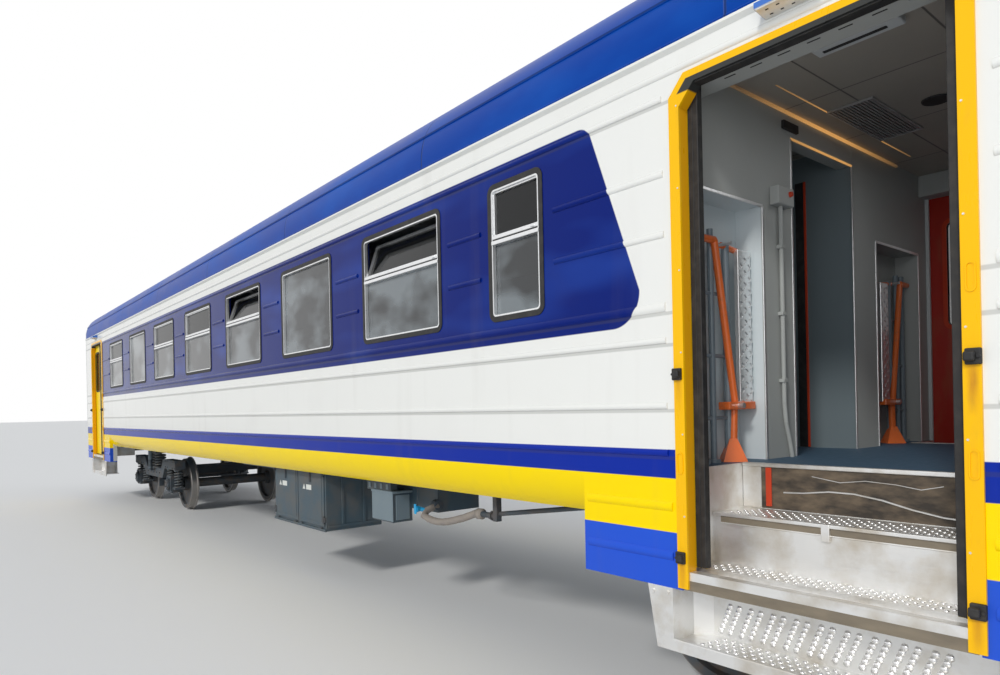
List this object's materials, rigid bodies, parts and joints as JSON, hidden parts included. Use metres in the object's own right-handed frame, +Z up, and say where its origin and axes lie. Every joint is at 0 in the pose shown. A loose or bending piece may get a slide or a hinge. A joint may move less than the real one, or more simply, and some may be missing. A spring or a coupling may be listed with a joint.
{
  "type": "passenger coach",
  "caption": "Electric train's trailer coach on two bogies, with sliding doors at step wells, gangways, seats and a folded wheelchair lift.",
  "frame": {"origin": "middle of the coach's plan, on the level of the wheel flanges' lowest point", "axes": "+X along the coach towards its front end, +Y to its left side, +Z up"},
  "size_m": [21.32, 3.67, 4.4022],
  "materials": {
    "body_white": "gloss",
    "body_blue": "gloss",
    "door_yellow": "gloss",
    "gutter_lamp": "satin",
    "underframe_grey": "matte",
    "bogie_grey": "matte",
    "wheel_steel": "worn",
    "spring_steel": "satin",
    "step_aluminium": "satin",
    "tinted_glass": "gloss",
    "black_rubber": "matte",
    "interior_grey": "satin",
    "ceiling_white": "matte",
    "floor_slate": "matte",
    "seat_blue": "matte",
    "lift_orange": "gloss",
    "rack_steel": "satin",
    "coupler_iron": "worn"
  },
  "bodies": {
    "coach_body": {"side_wall_left": "body_white", "side_wall_right": "body_white", "cantrails": "body_white", "roof_shell": "body_blue", "roof_vents": "body_blue", "end_walls": "body_white", "gangway_bellows": "black_rubber", "couplers": "coupler_iron", "pocket_skirts": "body_blue", "pocket_linings": "interior_grey", "door_surrounds": "door_yellow", "window_frames": "black_rubber", "window_glass": "tinted_glass", "body_ribs": "body_white", "door_lamps": "gutter_lamp", "floor_deck": "floor_slate", "underframe": "underframe_grey", "step_wells": "step_aluminium", "well_cheeks": "step_aluminium", "outer_steps": "step_aluminium", "partitions": "interior_grey", "ceiling_panels": "ceiling_white", "seats": "seat_blue", "luggage_racks": "rack_steel", "wheelchair_lifts": "lift_orange", "vestibule_lockers": "interior_grey", "equipment_cabinets": "underframe_grey", "brake_equipment": "underframe_grey", "air_reservoirs": "underframe_grey"},
    "door_rear_left_aft": {"door_rear_left_aft": "door_yellow"},
    "door_rear_left_fore": {"door_rear_left_fore": "door_yellow"},
    "door_rear_right_aft": {"door_rear_right_aft": "door_yellow"},
    "door_rear_right_fore": {"door_rear_right_fore": "door_yellow"},
    "door_middle_left_aft": {"door_middle_left_aft": "door_yellow"},
    "door_middle_left_fore": {"door_middle_left_fore": "door_yellow"},
    "door_middle_right_aft": {"door_middle_right_aft": "door_yellow"},
    "door_middle_right_fore": {"door_middle_right_fore": "door_yellow"},
    "saloon_door_rear": {"saloon_door_rear": "interior_grey"},
    "saloon_door_middle": {"saloon_door_middle": "interior_grey"},
    "saloon_door_front": {"saloon_door_front": "interior_grey"},
    "end_door_rear": {"end_door_rear": "interior_grey"},
    "end_door_front": {"end_door_front": "interior_grey"},
    "bogie_rear": {"bogie_frame_rear": "bogie_grey", "bogie_springs_rear": "spring_steel", "axleboxes_rear": "bogie_grey", "brake_gear_rear": "bogie_grey"},
    "wheelset_1": {"wheelset_1": "wheel_steel"},
    "wheelset_2": {"wheelset_2": "wheel_steel"},
    "bogie_front": {"bogie_frame_front": "bogie_grey", "bogie_springs_front": "spring_steel", "axleboxes_front": "bogie_grey", "brake_gear_front": "bogie_grey"},
    "wheelset_3": {"wheelset_3": "wheel_steel"},
    "wheelset_4": {"wheelset_4": "wheel_steel"}
  },
  "joints": [
    {"name": "door_rear_left_aft_slide", "type": "slide", "parent": "coach_body", "child": "door_rear_left_aft", "axis": [-1, 0, 0], "range_m": [0, 0.502]},
    {"name": "door_rear_left_fore_slide", "type": "slide", "parent": "coach_body", "child": "door_rear_left_fore", "axis": [1, 0, 0], "range_m": [0, 0.502]},
    {"name": "door_rear_right_aft_slide", "type": "slide", "parent": "coach_body", "child": "door_rear_right_aft", "axis": [-1, 0, 0], "range_m": [0, 0.502]},
    {"name": "door_rear_right_fore_slide", "type": "slide", "parent": "coach_body", "child": "door_rear_right_fore", "axis": [1, 0, 0], "range_m": [0, 0.502]},
    {"name": "door_middle_left_aft_slide", "type": "slide", "parent": "coach_body", "child": "door_middle_left_aft", "axis": [-1, 0, 0], "range_m": [0, 0.547]},
    {"name": "door_middle_left_fore_slide", "type": "slide", "parent": "coach_body", "child": "door_middle_left_fore", "axis": [1, 0, 0], "range_m": [0, 0.547]},
    {"name": "door_middle_right_aft_slide", "type": "slide", "parent": "coach_body", "child": "door_middle_right_aft", "axis": [-1, 0, 0], "range_m": [-0.547, 0]},
    {"name": "door_middle_right_fore_slide", "type": "slide", "parent": "coach_body", "child": "door_middle_right_fore", "axis": [1, 0, 0], "range_m": [-0.547, 0]},
    {"name": "saloon_door_rear_slide", "type": "slide", "parent": "coach_body", "child": "saloon_door_rear", "axis": [0, 1, 0], "range_m": [0, 0.8]},
    {"name": "saloon_door_middle_slide", "type": "slide", "parent": "coach_body", "child": "saloon_door_middle", "axis": [0, 1, 0], "range_m": [0, 0.8]},
    {"name": "saloon_door_front_slide", "type": "slide", "parent": "coach_body", "child": "saloon_door_front", "axis": [0, 1, 0], "range_m": [0, 0.8]},
    {"name": "end_door_rear_hinge", "type": "hinge", "parent": "coach_body", "child": "end_door_rear", "pos_m": [-10.34, -0.396, 0], "axis": [0, 0, -1], "range_deg": [0, 90]},
    {"name": "end_door_front_hinge", "type": "hinge", "parent": "coach_body", "child": "end_door_front", "pos_m": [10.34, -0.396, 0], "axis": [0, 0, 1], "range_deg": [0, 90]},
    {"name": "bogie_rear_swivel", "type": "hinge", "parent": "coach_body", "child": "bogie_rear", "pos_m": [-7.05, 0, 1.128], "axis": [0, 0, 1], "range_deg": [-3, 3]},
    {"name": "wheelset_1_spin", "type": "hinge", "parent": "bogie_rear", "child": "wheelset_1", "pos_m": [-8.25, 0, 0.503], "axis": [0, 1, 0], "continuous": true},
    {"name": "wheelset_2_spin", "type": "hinge", "parent": "bogie_rear", "child": "wheelset_2", "pos_m": [-5.85, 0, 0.503], "axis": [0, 1, 0], "continuous": true},
    {"name": "bogie_front_swivel", "type": "hinge", "parent": "coach_body", "child": "bogie_front", "pos_m": [7.05, 0, 1.128], "axis": [0, 0, 1], "range_deg": [-3, 3]},
    {"name": "wheelset_3_spin", "type": "hinge", "parent": "bogie_front", "child": "wheelset_3", "pos_m": [5.85, 0, 0.503], "axis": [0, 1, 0], "continuous": true},
    {"name": "wheelset_4_spin", "type": "hinge", "parent": "bogie_front", "child": "wheelset_4", "pos_m": [8.25, 0, 0.503], "axis": [0, 1, 0], "continuous": true}
  ],
  "couplings": [
    {"joint": "door_rear_left_fore_slide", "follows": "door_rear_left_aft_slide", "ratio": 1},
    {"joint": "door_rear_right_fore_slide", "follows": "door_rear_right_aft_slide", "ratio": 1},
    {"joint": "door_middle_left_fore_slide", "follows": "door_middle_left_aft_slide", "ratio": 1},
    {"joint": "door_middle_right_fore_slide", "follows": "door_middle_right_aft_slide", "ratio": 1}
  ]
}
